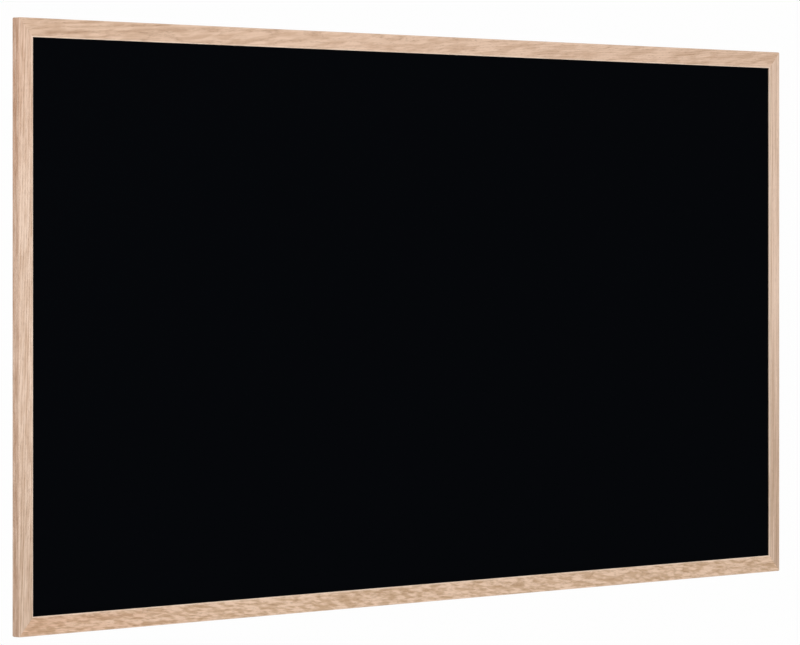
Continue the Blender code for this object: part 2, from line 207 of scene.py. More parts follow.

# %% [markdown]
# ## Oak, as solid timber
#
# Oak shows its growth rings as bands. On a stick sawn through the side of a log they run nearly straight.
# On one sawn flat they open into waves, tongues and islands, because the trunk was never quite straight.
# A picture of wood could be laid on each face, but then the grain would not run on round the arrises.
# So the timber is worked out as a solid: the distance of each point from the log's pith, divided by the
# width of a ring. The same rule then serves the face, the sides, the rabbet and the back.
#
# Each stick keeps its own axes: X along it, Y into its depth and Z outwards, with 0 on its outer side.
# The early wood of each ring is browner and full of pores, which are short dark hairs along the grain.
# Heartwood adds a warm red tone, and the darkening input a darker, greyer brown one.

# %% Node group: solid oak
oak_group, entry, leave = new_group(
    "solid_oak",
    [
        ("Place", "Vector", (0.0, 0.0, 0.0)),
        ("Seed", "Float", 0.0),
        ("Pith Y", "Float", 0.05),
        ("Pith Z", "Float", -0.019),
        ("Slant", "Float", 0.0),
        ("Wander", "Float", 0.004),
        ("Wander Cycles", "Vector", (7.0, 5.0, 9.0)),
        ("Ring Width", "Float", 0.003),
        ("Figure", "Float", 0.7),
        ("Stroke Cycles", "Vector", (9.0, 110.0, 110.0)),
        ("Stroke Slant", "Float", 0.0),
        ("Strokes", "Float", 0.6),
        ("Heart", "Float", 0.0),
        ("Drab", "Float", 0.0),
        ("Pale", "Color", (0.70, 0.52, 0.40, 1.0)),
        ("Brown", "Color", (0.45, 0.27, 0.16, 1.0)),
        ("Pore", "Color", (0.20, 0.11, 0.06, 1.0)),
    ],
    [("Color", "Color"), ("Roughness", "Float"), ("Height", "Float")],
)
tree = oak_group
away_x = calc(tree, "MULTIPLY", entry["Seed"], 3.7)
away = put(tree, "CombineXYZ", {0: away_x, 1: entry["Seed"]}).outputs[0]
moved = put(tree, "VectorMath", {0: entry["Place"], 1: away}, operation="ADD").outputs[0]
axes = put(tree, "SeparateXYZ", {0: entry["Place"]}).outputs

# the trunk's bends push the rings and the grain aside
bend = calc(tree, "SUBTRACT", noise(tree, moved, entry["Wander Cycles"], 1.5), 0.5)
push = calc(tree, "MULTIPLY", calc(tree, "MULTIPLY", bend, 3.0), entry["Wander"])
sloped = calc(tree, "MULTIPLY_ADD", axes[0], entry["Slant"], push)
bent = put(tree, "CombineXYZ", {1: push, 2: sloped}).outputs[0]
grain = put(tree, "VectorMath", {0: moved, 1: bent}, operation="ADD").outputs[0]
from_pith_y = calc(tree, "SUBTRACT", calc(tree, "ADD", axes[1], push), entry["Pith Y"])
from_pith_z = calc(tree, "SUBTRACT", calc(tree, "ADD", axes[2], sloped), entry["Pith Z"])
pith_vector = put(tree, "CombineXYZ", {1: from_pith_y, 2: from_pith_z}).outputs[0]
distance = put(tree, "VectorMath", {0: pith_vector}, operation="LENGTH").outputs["Value"]
ripple = calc(tree, "MULTIPLY", noise(tree, grain, (30.0, 240.0, 240.0)), 0.5)
ring = calc(tree, "ADD", calc(tree, "DIVIDE", distance, entry["Ring Width"]), ripple)

# each ring fades from early to late wood, and no two rings are equally strong
share = calc(tree, "FRACT", ring)
fading = step(tree, share, 0.0, 0.62, 1.0, 0.0)
rising = step(tree, share, 0.80, 1.0)
early = calc(tree, "MAXIMUM", fading, rising)
ring_number = calc(tree, "FLOOR", calc(tree, "ADD", ring, 0.2))
ring_tone = put(tree, "TexWhiteNoise", {"W": ring_number}, noise_dimensions="1D").outputs["Value"]
band = calc(tree, "MULTIPLY", early, calc(tree, "MULTIPLY_ADD", ring_tone, 0.6, 0.4))

# strokes, fibres, threads, clouds, pores and ray lines all follow the grain
lean = calc(tree, "MULTIPLY", axes[0], entry["Stroke Slant"])
leaning = put(tree, "CombineXYZ", {2: lean}).outputs[0]
stroke_place = put(tree, "VectorMath", {0: grain, 1: leaning}, operation="ADD").outputs[0]
stroke = step(tree, noise(tree, stroke_place, entry["Stroke Cycles"], 1.0), 0.34, 0.66)
fibre = noise(tree, grain, (11.0, 620.0, 620.0), 3.0)
thread = noise(tree, grain, (5.0, 260.0, 260.0), 2.0)
cloud = noise(tree, moved, (1.7, 14.0, 14.0), 1.0)
pore_hair = step(tree, noise(tree, grain, (85.0, 2800.0, 2800.0), 0.0), 0.60, 0.72)
pores = calc(tree, "MULTIPLY", pore_hair, calc(tree, "MULTIPLY_ADD", early, 0.85, 0.15))
ray_line = step(tree, noise(tree, grain, (85.0, 150.0, 1700.0), 0.0), 0.66, 0.76)

# everything that darkens the wood is summed before the two oak colours are mixed
dark = calc(tree, "MULTIPLY", band, entry["Figure"])
dark = calc(tree, "MULTIPLY_ADD", stroke, entry["Strokes"], dark)
dark = calc(tree, "MULTIPLY_ADD", calc(tree, "SUBTRACT", thread, 0.5), 0.45, dark)
dark = calc(tree, "MULTIPLY_ADD", calc(tree, "SUBTRACT", fibre, 0.5), 0.50, dark)
dark = calc(tree, "MULTIPLY_ADD", calc(tree, "SUBTRACT", cloud, 0.5), 0.30, dark)
dark = calc(tree, "MULTIPLY_ADD", ray_line, 0.16, dark)
dark = put(tree, "Clamp", {0: dark}).outputs[0]
wood = tint(tree, dark, entry["Pale"], entry["Brown"])
streaked = step(tree, thread, 0.30, 0.62, 0.25, 1.1)
heart = calc(tree, "MULTIPLY", entry["Heart"], streaked)
wood = tint(tree, heart, wood, (0.80, 0.63, 0.53, 1.0), "MULTIPLY")
# darker and greyer wherever a stick's darkening input asks for it
darkening = calc(tree, "MULTIPLY", entry["Drab"], streaked)
wood = tint(tree, darkening, wood, (0.69, 0.65, 0.59, 1.0), "MULTIPLY")
wood = tint(tree, calc(tree, "MULTIPLY", pores, 0.58), wood, entry["Pore"])
tree.links.new(wood, leave["Color"])

# pores are open and dull, and early wood is sanded a little lower
rough = calc(tree, "MULTIPLY_ADD", fibre, 0.16, 0.40)
tree.links.new(calc(tree, "MULTIPLY_ADD", pores, 0.25, rough), leave["Roughness"])
raised = calc(tree, "MULTIPLY_ADD", fibre, 0.30, calc(tree, "MULTIPLY", pores, -1.0))
tree.links.new(calc(tree, "MULTIPLY_ADD", early, -0.12, raised), leave["Height"])
print("solid oak:", len(tree.nodes), "nodes")

# %% [markdown]
# ## Sanded arrises and a painted highlight
#
# The long corners of a stick are called arrises. They are eased with sandpaper before the finish goes on,
# which leaves them a little smoother. Their paler colour is partly sanded wood and partly a painted
# highlight, strongest on the inner arris, for the light that the rounded edge catches. The group measures
# how near a point is to either front arris, in the stick's own axes.

# %% Node group: sanded arris and painted highlight
# the sanded wood and its painted highlight reach this far from each front arris
HIGHLIGHT_REACH = 0.0034
HIGHLIGHT_CORE = 0.0006
OUTER_HIGHLIGHT_SHARE = 0.28
highlit_arris_group, entry, leave = new_group(
    "sanded_arris_highlight", [("Place", "Vector", (0.0, 0.0, 0.0))], [("Mask", "Float")]
)
tree = highlit_arris_group
axes = put(tree, "SeparateXYZ", {0: entry["Place"]}).outputs
back_from_front = calc(tree, "SUBTRACT", axes[1], FRONT_Y)
in_from_outer = axes[2]
in_from_inner = calc(tree, "ADD", axes[2], FACE_WIDTH)
near = []
for across in (in_from_outer, in_from_inner):
    offset = put(tree, "CombineXYZ", {0: back_from_front, 1: across}).outputs[0]
    gap = put(tree, "VectorMath", {0: offset}, operation="LENGTH").outputs["Value"]
    near.append(step(tree, gap, HIGHLIGHT_CORE, HIGHLIGHT_REACH, 1.0, 0.0))
patchy = noise(tree, entry["Place"], (19.0, 90.0, 90.0), 2.0)
either = calc(tree, "MAXIMUM", calc(tree, "MULTIPLY", near[0], OUTER_HIGHLIGHT_SHARE), near[1])
edge = calc(tree, "MULTIPLY", either, step(tree, patchy, 0.3, 0.6, 0.45, 1.0))
tree.links.new(edge, leave["Mask"])
print("sanded arris:", len(tree.nodes), "nodes")

# %% [markdown]
# ## Four sticks, four cuts of oak
#
# The four sides don't match on the real frame, because each stick came from another part of a log. The
# rails are flat sawn: the top one has soft slanting waves that get bolder near its ends, and the bottom
# one has a strong figure of short strokes all along. The stiles are nearly straight grained. Heartwood
# reddens the left stile's outer side and the near end of the bottom rail. Apart from that, both stiles are
# made darker and greyer towards the foot, and the near end of the top rail a little darker and greyer.

# %% Oak finishes for the four sticks
PALE_OAK = (0.785, 0.585, 0.455, 1.0)
WARM_OAK = (0.770, 0.545, 0.395, 1.0)
TAN_OAK = (0.730, 0.507, 0.367, 1.0)
# paler sanded oak, which on the arrises also stands for a painted highlight
SANDED_HIGHLIGHT_OAK = (0.880, 0.705, 0.575, 1.0)
BROWN_OAK = (0.430, 0.250, 0.140, 1.0)
OLIVE_OAK = (0.450, 0.275, 0.146, 1.0)
OPEN_PORE = (0.230, 0.125, 0.070, 1.0)
SANDED_HIGHLIGHT_MOST = 0.80
OAK_RELIEF = 0.00012


def oak_finish(name, values, **changing):
    """One stick's oak. A changing input is worked out from the place along the stick or across it."""
    material, tree, shader, place = new_material(name)
    axes = put(tree, "SeparateXYZ", {0: place}).outputs
    sockets = {"Place": place, "Brown": BROWN_OAK, "Pore": OPEN_PORE, **values}
    for label, rule in changing.items():
        sockets[label] = rule(tree, axes)
    oak = use_group(tree, oak_group, sockets)
    sanded_highlight = use_group(tree, highlit_arris_group, {"Place": place})["Mask"]
    # the arrises are paler: partly sanded wood, partly a painted highlight along the rounded edge
    pale = tint(tree, calc(tree, "MULTIPLY", sanded_highlight, SANDED_HIGHLIGHT_MOST), oak["Color"], SANDED_HIGHLIGHT_OAK)
    tree.links.new(pale, shader.inputs["Base Color"])
    smoother = calc(tree, "MULTIPLY_ADD", sanded_highlight, -0.06, oak["Roughness"])
    tree.links.new(smoother, shader.inputs["Roughness"])
    shader.inputs["IOR"].default_value = 1.45
    relief(tree, shader, oak["Height"], OAK_RELIEF)
    return material


def bold_ends(tree, axes):
    """A figure that is quiet in the middle and bold near both ends."""
    return step(tree, calc(tree, "ABSOLUTE", axes[0]), 0.35, 1.10, 0.12, 0.36)


def red_side(tree, axes):
    """Heartwood tone on the outer side, and some of it near the top, which is the stick's +X end."""
    side = step(tree, axes[2], -0.0030, -0.0008, 0.0, 0.44)
    return calc(tree, "ADD", side, step(tree, axes[0], 0.20, 0.50, 0.0, 0.36))


def growing(low, high, most):
    """A rule for a tone that grows along the stick, from none at one place to the most at the other."""
    return lambda tree, axes: step(tree, axes[0], low, high, 0.0, most)


oak = {
    "top": oak_finish(
        "oak_top_rail",
        {"Pale": TAN_OAK, "Seed": 1.3, "Pith Y": 0.045, "Pith Z": 0.012, "Slant": -0.045,
         "Wander": 0.0030, "Wander Cycles": (7.0, 10.0, 22.0), "Ring Width": 0.0030,
         "Stroke Cycles": (19.0, 60.0, 115.0), "Stroke Slant": -0.07, "Strokes": 0.42},
        Figure=bold_ends,
        Drab=growing(-0.45, -1.15, 0.30),
    ),
    "bottom": oak_finish(
        "oak_bottom_rail",
        {"Pale": WARM_OAK, "Brown": OLIVE_OAK, "Seed": 5.1, "Pith Y": 0.024, "Pith Z": -0.028,
         "Slant": 0.010, "Wander": 0.0028, "Wander Cycles": (22.0, 10.0, 30.0),
         "Ring Width": 0.0024, "Figure": 0.24,
         "Stroke Cycles": (38.0, 60.0, 190.0), "Stroke Slant": 0.09, "Strokes": 0.70},
        Heart=growing(0.50, 1.15, 0.45),
    ),
    "left": oak_finish(
        "oak_left_stile",
        {"Pale": PALE_OAK, "Seed": 2.2, "Pith Y": 0.150, "Pith Z": 0.090, "Slant": 0.035,
         "Wander": 0.0016, "Wander Cycles": (3.0, 5.0, 9.0), "Ring Width": 0.0034, "Figure": 0.38,
         "Stroke Cycles": (20.0, 110.0, 140.0), "Strokes": 0.36},
        Heart=red_side,
        Drab=growing(-0.12, -0.48, 0.62),
    ),
    "right": oak_finish(
        "oak_right_stile",
        {"Pale": PALE_OAK, "Seed": 8.4, "Pith Y": 0.120, "Pith Z": -0.150, "Slant": 0.010,
         "Wander": 0.0020, "Wander Cycles": (3.0, 5.0, 9.0), "Ring Width": 0.0042, "Figure": 0.32,
         "Stroke Cycles": (3.5, 90.0, 200.0), "Strokes": 0.40},
        Drab=growing(-0.16, 0.42, 0.80),
    ),
}
print("oak finishes:", ", ".join(sorted(oak)))

# %% [markdown]
# ## Fine grit
#
# Matt coatings, moulded rubber and pressed board all have a fine, even grit that breaks up any shine. One
# group makes it at whatever size a finish needs: fine grains, broad clouds and a height for the bump.

# %% Node group: fine grit
grit_group, entry, leave = new_group(
    "fine_grit",
    [("Place", "Vector", (0.0, 0.0, 0.0)), ("Grains Per Metre", "Float", 1500.0)],
    [("Grain", "Float"), ("Cloud", "Float"), ("Height", "Float")],
)
tree = grit_group
scaled = put(tree, "VectorMath", {0: entry["Place"], "Scale": entry["Grains Per Metre"]}, operation="SCALE")
grain = noise(tree, scaled.outputs[0], (1.0, 1.0, 1.0), 2.0, 0.6)
tree.links.new(grain, leave["Grain"])
tree.links.new(noise(tree, entry["Place"], (2.3, 2.3, 2.3), 4.0, 0.55), leave["Cloud"])
tree.links.new(step(tree, grain, 0.30, 0.70), leave["Height"])
print("fine grit:", len(tree.nodes), "nodes")

# %% [markdown]
# ## Chalk coating
#
# A chalkboard's face is sprayed and then rubbed down, so that it bites the chalk. It throws back almost no
# light: in the photograph it is near black with a cold cast, and no lamp shows in it. A low specular level
# and a high roughness give that. The grit is there for close views, and the clouds shift the tone by a hair.

# %% Chalk coating
chalk, tree, shader, place = new_material("chalk_coating")
grit = use_group(tree, grit_group, {"Place": place, "Grains Per Metre": 1400.0})
tone = tint(tree, grit["Cloud"], (0.00100, 0.00135, 0.00205, 1.0), (0.00150, 0.00190, 0.00275, 1.0))
tone = tint(tree, step(tree, grit["Grain"], 0.45, 0.75, 0.0, 0.35), tone, (0.0026, 0.0031, 0.0042, 1.0))
tree.links.new(tone, shader.inputs["Base Color"])
tree.links.new(step(tree, grit["Cloud"], 0.3, 0.7, 0.86, 0.94), shader.inputs["Roughness"])
shader.inputs["Specular IOR Level"].default_value = 0.006
relief(tree, shader, grit["Height"], 0.00002)
print("chalk coating: matt, near black")

# %% [markdown]
# ## Zinc plated steel
#
# The hangers, rings, screws, nails and points are mild steel with a thin zinc plating. New plating is
# bright but never even: it has soft cloudy patches, a cold cast and fine scratches from the barrel that the
# parts were tumbled in. The scratches are drawn-out noise in two directions, which also roughens the shine.

# %% Node group and finishes: zinc plating
zinc_group, entry, leave = new_group(
    "zinc_plating",
    [("Place", "Vector", (0.0, 0.0, 0.0)), ("Tarnish", "Float", 0.3)],
    [("Color", "Color"), ("Roughness", "Float"), ("Height", "Float")],
)
tree = zinc_group
patches = noise(tree, entry["Place"], (260.0, 260.0, 260.0), 3.0, 0.6)
spangle = noise(tree, entry["Place"], (1400.0, 1400.0, 1400.0), 1.0)
askew = put(tree, "VectorRotate", {"Vector": entry["Place"], "Rotation": (0.3, 0.6, 0.4)},
            rotation_type="EULER_XYZ").outputs[0]
scratch_up = noise(tree, askew, (5200.0, 210.0, 190.0), 1.0)
scratch_over = noise(tree, askew, (230.0, 4700.0, 4300.0), 1.0)
scratch = calc(tree, "MAXIMUM", step(tree, scratch_up, 0.62, 0.74), step(tree, scratch_over, 0.64, 0.76))
bright = tint(tree, step(tree, patches, 0.35, 0.65), (0.46, 0.48, 0.50, 1.0), (0.60, 0.60, 0.585, 1.0))
dull = calc(tree, "MULTIPLY", step(tree, patches, 0.40, 0.75), entry["Tarnish"])
bright = tint(tree, dull, bright, (0.34, 0.33, 0.31, 1.0))
bright = tint(tree, calc(tree, "MULTIPLY", scratch, 0.25), bright, (0.72, 0.72, 0.72, 1.0))
tree.links.new(bright, leave["Color"])
worn = calc(tree, "MULTIPLY_ADD", patches, 0.22, 0.20)
tree.links.new(calc(tree, "MULTIPLY_ADD", scratch, 0.14, worn), leave["Roughness"])
tree.links.new(calc(tree, "MULTIPLY_ADD", scratch, -0.8, spangle), leave["Height"])


def zinc_finish(name, tarnish):
    """Plated steel, from bright to dull."""
    material, tree, shader, place = new_material(name)
    zinc = use_group(tree, zinc_group, {"Place": place, "Tarnish": tarnish})
    tree.links.new(zinc["Color"], shader.inputs["Base Color"])
    tree.links.new(zinc["Roughness"], shader.inputs["Roughness"])
    shader.inputs["Metallic"].default_value = 1.0
    relief(tree, shader, zinc["Height"], 0.000012)
    return material


bright_zinc = zinc_finish("bright_zinc", 0.15)
dull_zinc = zinc_finish("dull_zinc", 0.75)
print("zinc finishes: bright for hangers, dull for nails and points")

# %% [markdown]
# ## Backing foil
#
# The panel's back is closed by a thin rolled sheet that keeps damp out of the core. Rolling leaves faint
# lines along the sheet, and pressing it onto the board leaves shallow creases and glue clouds. Creases
# are the edges of large, bent cells: a cell pattern whose place is first pushed about by noise. The creases
# are raised in the bump, and a paler colour along them is a painted glint.

# %% Backing foil
foil, tree, shader, place = new_material("backing_foil")
axes = put(tree, "SeparateXYZ", {0: place}).outputs
rolled = noise(tree, place, (3.0, 1.0, 900.0), 2.0)
cloudy = noise(tree, place, (2.1, 1.0, 2.6), 4.0, 0.6)
pushed_by = put(tree, "TexNoise", {"Vector": place, "Scale": 2.4, "Detail": 2.0}).outputs["Color"]
pushed = put(tree, "VectorMath", {0: pushed_by, "Scale": 0.35}, operation="SCALE").outputs[0]
bent = put(tree, "VectorMath", {0: place, 1: pushed}, operation="ADD").outputs[0]
cells = put(tree, "TexVoronoi", {"Vector": bent, "Scale": 3.2}, feature="DISTANCE_TO_EDGE")
crease_and_glint = step(tree, cells.outputs["Distance"], 0.0, 0.016, 1.0, 0.0)
crease_and_glint = calc(tree, "MULTIPLY", crease_and_glint, step(tree, cloudy, 0.46, 0.66, 0.0, 0.28))
tone = tint(tree, step(tree, cloudy, 0.2, 0.8), (0.45, 0.46, 0.475, 1.0), (0.56, 0.565, 0.57, 1.0))
tone = tint(tree, step(tree, rolled, 0.3, 0.7, 0.0, 0.45), tone, (0.63, 0.63, 0.63, 1.0))
# a painted glint: the creases are painted a little paler
tone = tint(tree, calc(tree, "MULTIPLY", crease_and_glint, 0.25), tone, (0.70, 0.70, 0.70, 1.0))
tree.links.new(tone, shader.inputs["Base Color"])
tree.links.new(step(tree, cloudy, 0.25, 0.75, 0.38, 0.56), shader.inputs["Roughness"])
shader.inputs["Metallic"].default_value = 0.9
height = calc(tree, "MULTIPLY_ADD", rolled, 0.10, calc(tree, "MULTIPLY_ADD", cloudy, 1.2, crease_and_glint))
relief(tree, shader, height, 0.00035)
print("backing foil: rolled, lightly creased")

# %% [markdown]
# ## Pressed fibreboard and moulded rubber
#
# The core is pressed from wood fibre, so it is brown and felted, with fibres lying every way. The bumpers
# are black moulded rubber with a fine matt skin, slightly greyed where they were handled. Both take their
# grit from the group above, with their own size of grain.

# %% Fibreboard and rubber
fibreboard, tree, shader, place = new_material("pressed_fibreboard")
grit = use_group(tree, grit_group, {"Place": place, "Grains Per Metre": 700.0})
felt = noise(tree, place, (900.0, 240.0, 900.0), 3.0, 0.65)
tone = tint(tree, step(tree, felt, 0.3, 0.7), (0.24, 0.155, 0.085, 1.0), (0.42, 0.295, 0.18, 1.0))
tone = tint(tree, step(tree, grit["Grain"], 0.5, 0.8, 0.0, 0.5), tone, (0.15, 0.095, 0.05, 1.0))
tree.links.new(tone, shader.inputs["Base Color"])
tree.links.new(step(tree, grit["Cloud"], 0.3, 0.7, 0.85, 0.95), shader.inputs["Roughness"])
relief(tree, shader, grit["Height"], 0.00015)

rubber, tree, shader, place = new_material("moulded_rubber")
grit = use_group(tree, grit_group, {"Place": place, "Grains Per Metre": 5200.0})
handled = noise(tree, place, (330.0, 330.0, 330.0), 3.0, 0.6)
tone = tint(tree, step(tree, handled, 0.45, 0.75), (0.018, 0.018, 0.018, 1.0), (0.050, 0.049, 0.047, 1.0))
tree.links.new(tone, shader.inputs["Base Color"])
tree.links.new(step(tree, grit["Grain"], 0.3, 0.7, 0.62, 0.82), shader.inputs["Roughness"])
relief(tree, shader, grit["Height"], 0.00003)
print("fibreboard and rubber ready")

# %% [markdown]
# ## Small tools for shapes
#
# Three ways of making a form cover the whole board: an outline drawn out straight, a profile turned about
# an axis, and a grid that follows a path. Corners are rounded in the outline, before it becomes a solid,
# because that gives even arcs. Holes and slots are taken out with one exact Boolean for each piece.

# %% Helpers for outlines
def arc(centre, radius, start, end, steps):
    """Points along an arc in a plane, both ends included."""
    turns = [start + (end - start) * index / steps for index in range(steps + 1)]
    return [Vector(centre) + radius * Vector((math.cos(a), math.sin(a))) for a in turns]


def filleted(corners, steps):
    """A path through (x, y, radius) corners, each turned by an arc of its own radius."""
    path = []
    for index, (x, y, radius) in enumerate(corners):
        corner = Vector((x, y))
        if radius == 0:
            path.append(corner)
            continue
        before = (Vector(corners[index - 1][:2]) - corner).normalized()
        after = (Vector(corners[(index + 1) % len(corners)][:2]) - corner).normalized()
        half = before.angle(after) / 2
        centre = corner + (before + after).normalized() * radius / math.sin(half)
        start = corner + before * radius / math.tan(half) - centre
        end = corner + after * radius / math.tan(half) - centre
        first = math.atan2(start.y, start.x)
        turn = math.remainder(math.atan2(end.y, end.x) - first, 2 * math.pi)
        path += arc(centre, radius, first, first + turn, steps)
    return path


def strip(path, thickness):
    """The outline of a bent strip of even thickness along an open path."""
    sides = ([], [])
    for index, point in enumerate(path):
        back = (point - path[index - 1]).normalized() if index else None
        on = (path[index + 1] - point).normalized() if index + 1 < len(path) else None
        back = back or on
        on = on or back
        along = (back + on).normalized()
        normal = Vector((-along.y, along.x)) * thickness / 2 / along.dot(on)
        sides[0].append(point + normal)
        sides[1].append(point - normal)
    return sides[0] + sides[1][::-1]


print("outline helpers ready")


# %% Helpers for solids
def place_piece(name, shape, matrix):
    """Makes an object of a bmesh at a place, in its own axes."""
    bmesh.ops.remove_doubles(shape, verts=shape.verts, dist=1e-7)
    bmesh.ops.recalc_face_normals(shape, faces=shape.faces)
    mesh = bpy.data.meshes.new(name)
    shape.to_mesh(mesh)
    shape.free()
    made = bpy.data.objects.new(name, mesh)
    bpy.context.scene.collection.objects.link(made)
    made.matrix_world = matrix
    return made


def join_rows(shape, rows):
    """Faces between closed rows of vertices. A row of one vertex is a point that its neighbour closes on."""
    for first, second in zip(rows, rows[1:]):
        count = max(len(first), len(second))
        for index in range(count):
            after = (index + 1) % count
            corners = [first[index % len(first)], first[after % len(first)]]
            corners += [second[after % len(second)], second[index % len(second)]]
            shape.faces.new(list(dict.fromkeys(corners)))


def drawn_out(outline, low, high, axis, shrink=1.0):
    """An outline drawn out between two levels of an axis. Shrink is its size at the low level."""
    shape = bmesh.new()
    rows = []
    for level, size in ((low, shrink), (high, 1.0)):
        row = []
        for point in outline:
            across, up = point[0] * size, point[1] * size
            place = {"X": (level, across, up), "Y": (across, level, up), "Z": (across, up, level)}[axis]
            row.append(shape.verts.new(place))
        rows.append(row)
    join_rows(shape, rows)
    shape.faces.new(rows[0])
    shape.faces.new(rows[1][::-1])
    return shape


def turned(profile, steps, ridge=None):
    """A profile of (radius, height) turned about Z. A ridge may add to the radius as it goes round."""
    shape = bmesh.new()
    rows = []
    for radius, height in profile:
        if radius == 0:
            rows.append([shape.verts.new((0, 0, height))])
            continue
        row = []
        for index in range(steps):
            angle = 2 * math.pi * index / steps
            reach = radius + (ridge(angle, height) if ridge else 0)
            row.append(shape.verts.new((reach * math.cos(angle), reach * math.sin(angle), height)))
        rows.append(row)
    join_rows(shape, rows)
    return shape


def carve(piece, cutters):
    """Takes the cutters out of a piece with one exact Boolean and keeps what is left as its mesh."""
    tools = bpy.data.collections.new(piece.name + "_tools")
    bpy.context.scene.collection.children.link(tools)
    for cutter in cutters:
        bpy.context.scene.collection.objects.unlink(cutter)
        tools.objects.link(cutter)
    boolean = piece.modifiers.new("carve", "BOOLEAN")
    boolean.operand_type = "COLLECTION"
    boolean.solver = "EXACT"
    boolean.collection = tools
    graph = bpy.context.evaluated_depsgraph_get()
    carved = bpy.data.meshes.new_from_object(piece.evaluated_get(graph))
    piece.modifiers.remove(boolean)
    piece.data = carved
    for cutter in cutters:
        bpy.data.objects.remove(cutter)
    bpy.data.collections.remove(tools)


def crisp(piece, angle=35.0):
    """Smooth arcs and flat faces together: sharp edges stay sharp, and wide faces win the normals."""
    shape = bmesh.new()
    shape.from_mesh(piece.data)
    for face in shape.faces:
        face.smooth = True
    for edge in shape.edges:
        edge.smooth = len(edge.link_faces) == 2 and edge.calc_face_angle() < math.radians(angle)
    shape.to_mesh(piece.data)
    shape.free()
    weighted = piece.modifiers.new("wide_faces_first", "WEIGHTED_NORMAL")
    weighted.keep_sharp = True
    return piece


def fit(piece, finish, body, node):
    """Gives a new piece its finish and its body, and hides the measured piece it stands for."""
    piece.data.materials.clear()
    piece.data.materials.append(finish)
    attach(piece, body)
    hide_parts(node)
    return piece


print("solid helpers ready")

# %% [markdown]
# ## Frame sticks
#
# Each side of the frame is one length of milled stick. Its section is an L: a wide face, and a rabbet at
# the back that the panel drops into. The ends are sawn to 45 degrees. Sweeping the section along the side
# gives every arris an even round. At the ends the outer part of the section turns through an eighth of a
# circle before it meets the mitre, and so the frame's corners are rounded as if sanded after gluing.

# %% The stick's section and one swept stick
CORNER_STEPS = 5
ROW_SPACING = 0.10
END_MARGIN = 0.06
SIDES = {
    "top": (Vector((0, 0, HALF_HEIGHT)), 0, 2 * HALF_WIDTH, "top_rail"),
    "right": (Vector((HALF_WIDTH, 0, 0)), math.pi / 2, 2 * HALF_HEIGHT, "right_stile"),
    "bottom": (Vector((0, 0, -HALF_HEIGHT)), math.pi, 2 * HALF_WIDTH, "bottom_rail"),
    "left": (Vector((-HALF_WIDTH, 0, 0)), -math.pi / 2, 2 * HALF_HEIGHT, "left_stile"),
}
SECTION = filleted([
    (FRONT_Y, 0, EDGE_EASE),
    (FRONT_Y, -FACE_WIDTH, EDGE_EASE),
    (FRONT_Y + LIP_THICKNESS, -FACE_WIDTH, RABBET_EASE),
    (FRONT_Y + LIP_THICKNESS, -REAR_LAND, 0),
    (BACK_Y, -REAR_LAND, RABBET_EASE),
    (BACK_Y, 0, BACK_EASE),
], 6)


def side_matrix(side):
    """A side's own axes: X along it, Y through its depth, Z outwards, 0 on its outer face."""
    place, turn, _, _ = SIDES[side]
    return Matrix.Translation(place) @ Matrix.Rotation(turn, 4, "Y")


def swept_stick(side):
    """The section swept along one side, mitred, with its share of the rounded corners."""
    half = SIDES[side][2] / 2 - SNUG / 2 * math.sqrt(2)
    turns = [math.pi / 4 * index / CORNER_STEPS for index in range(CORNER_STEPS + 1)]
    straight = int(half * 2 / ROW_SPACING)
    shape = bmesh.new()
    rows = []
    for hand, angles in ((-1, turns[::-1]), (1, turns)):
        if hand == 1:
            for index in range(1, straight):
                along = (half - END_MARGIN) * (2 * (index - 1) / (straight - 2) - 1)
                rows.append([shape.verts.new((along, y, z)) for y, z in SECTION])
        for angle in angles:
            row = []
            for y, z in SECTION:
                inset = max(-z, CORNER_RADIUS)
                round_by = max(CORNER_RADIUS + z, 0)
                along = half - inset + round_by * math.sin(angle)
                row.append(shape.verts.new((hand * along, y, -inset + round_by * math.cos(angle))))
            rows.append(row)
    join_rows(shape, rows)
    shape.faces.new(rows[0])
    shape.faces.new(rows[-1][::-1])
    return place_piece("oak_" + SIDES[side][3], shape, side_matrix(side))


sticks = {side: swept_stick(side) for side in SIDES}
print("sticks:", {side: len(stick.data.vertices) for side, stick in sticks.items()}, "vertices")

# %% [markdown]
# ## Slots and holes in the frame
#
# Three kinds of steel go into the wood from behind: V-shaped nails across each mitre, flat points in the
# rabbet's wall, and the hanger screws. Each needs a slot or hole that it fills. The measured points and
# screws say where they are, so their cutters take their places from them; the nail slots are placed from
# the frame's sizes. All the cutters are a hair larger.

# %% Cut the slots for points and nails
NAIL_THICKNESS = 0.0008
NAIL_REACH = 0.0060
NAIL_SPREAD = 0.0080
NAIL_CURL = 0.0012
WOOD_BEFORE_NAIL = 0.0090
NAIL_DEPTH = FRAME_DEPTH - WOOD_BEFORE_NAIL - SEAT_GAP
PAST_BACK = 0.001
tools = {side: [] for side in SIDES}


def grown_box(name, low, high, by):
    """A cutter box around two corners, grown on all sides."""
    outline = [(low.x - by, low.y - by), (high.x + by, low.y - by)]
    outline += [(high.x + by, high.y + by), (low.x - by, high.y + by)]
    return place_piece(name, drawn_out(outline, low.z - by, high.z + by, "Z"), Matrix.Identity(4))


for side, count in (("top", 6), ("bottom", 6), ("left", 3), ("right", 3)):
    for number in range(1, count + 1):
        low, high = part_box(f"panel_point_{side}_{number}")
        tools[side].append(grown_box(f"point_slot_{side}_{number}", low, high, SNUG))

